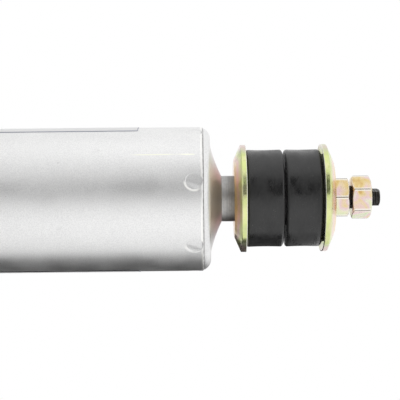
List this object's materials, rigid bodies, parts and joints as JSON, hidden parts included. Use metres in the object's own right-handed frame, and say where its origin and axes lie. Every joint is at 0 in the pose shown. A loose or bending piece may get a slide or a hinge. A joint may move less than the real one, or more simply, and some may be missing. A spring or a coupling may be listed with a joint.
{
  "type": "shock absorber",
  "caption": "Telescopic twin-tube shock absorber with a steel dust cover, a threaded stem mount with rubbers and dished washers, and a rubber-bushed lower eye.",
  "frame": {"origin": "centre of the lower eye's bore", "axes": "+Z from the lower eye along the rod to the threaded stem, +Y along the lower eye's bore; fully extended"},
  "size_m": [0.065, 0.065, 0.6585],
  "materials": {
    "silver_paint": "fine-grained silver paint, satin",
    "yellow_zinc": "yellow passivated zinc with a pink and green cast",
    "rubber": "moulded, matt",
    "rod_steel": "polished rod, turned shoulder, blackened thread",
    "sintered_iron": "sintered, matt",
    "spring_steel": "rolled strip",
    "bronze": "plain bearing",
    "slide_plastic": "filled sliding plastic",
    "plain_steel": "plain machined or drawn steel"
  },
  "bodies": {
    "rod_assembly": {"piston_rod": "rod_steel", "rebound_stop": "plain_steel", "rebound_bumper": "rubber", "intake_stop": "plain_steel", "piston_spacer": "plain_steel", "piston_star_spring": "spring_steel", "piston": "sintered_iron", "rebound_discs": "spring_steel", "rebound_washer": "plain_steel", "piston_nut": "plain_steel", "dust_cover": "silver_paint", "cover_cap": "silver_paint", "cap_weld": "plain_steel", "lower_cup_washer": "yellow_zinc", "lower_mount_rubber": "rubber", "upper_mount_rubber": "rubber", "upper_cup_washer": "yellow_zinc", "thin_nut": "yellow_zinc", "lock_nut": "yellow_zinc"},
    "band": {"piston_band": "slide_plastic"},
    "tube_assembly": {"lower_bush": "rubber", "eye_ring": "silver_paint", "eye_weld": "silver_paint", "base_cap": "silver_paint", "base_weld": "silver_paint", "reserve_tube": "silver_paint", "pressure_tube": "plain_steel", "foot_valve_body": "sintered_iron", "foot_valve_discs": "spring_steel", "foot_valve_rivet": "plain_steel", "foot_star_spring": "spring_steel", "rod_guide": "sintered_iron", "guide_bush": "bronze", "oil_seal": "rubber", "seal_plate": "plain_steel"},
    "eye_sleeve": {"lower_sleeve": "plain_steel"},
    "piston_check": {"piston_intake_plate": "spring_steel"},
    "foot_check": {"foot_intake_plate": "spring_steel"}
  },
  "joints": [
    {"name": "rod_turn", "type": "hinge", "parent": "rod_assembly", "child": "band", "pos_m": [0, 0, 0.27], "axis": [0, 0, 1], "continuous": true},
    {"name": "stroke", "type": "slide", "parent": "band", "child": "tube_assembly", "axis": [0, 0, 1], "range_m": [0, 0.2], "stiffness_N_per_m": 215, "springref_m": -0.73},
    {"name": "eye_twist", "type": "hinge", "parent": "tube_assembly", "child": "eye_sleeve", "pos_m": [0, 0, 0], "axis": [0, 1, 0], "range_deg": [-15, 15], "stiffness_Nm_per_rad": 80},
    {"name": "piston_check_lift", "type": "slide", "parent": "rod_assembly", "child": "piston_check", "axis": [0, 0, 1], "range_m": [0, 0.001], "stiffness_N_per_m": 400, "springref_m": -0.002, "deforming": ["piston_star_spring"]},
    {"name": "foot_check_lift", "type": "slide", "parent": "tube_assembly", "child": "foot_check", "axis": [0, 0, 1], "range_m": [0, 0.001], "stiffness_N_per_m": 400, "springref_m": -0.002, "deforming": ["foot_star_spring"]}
  ]
}
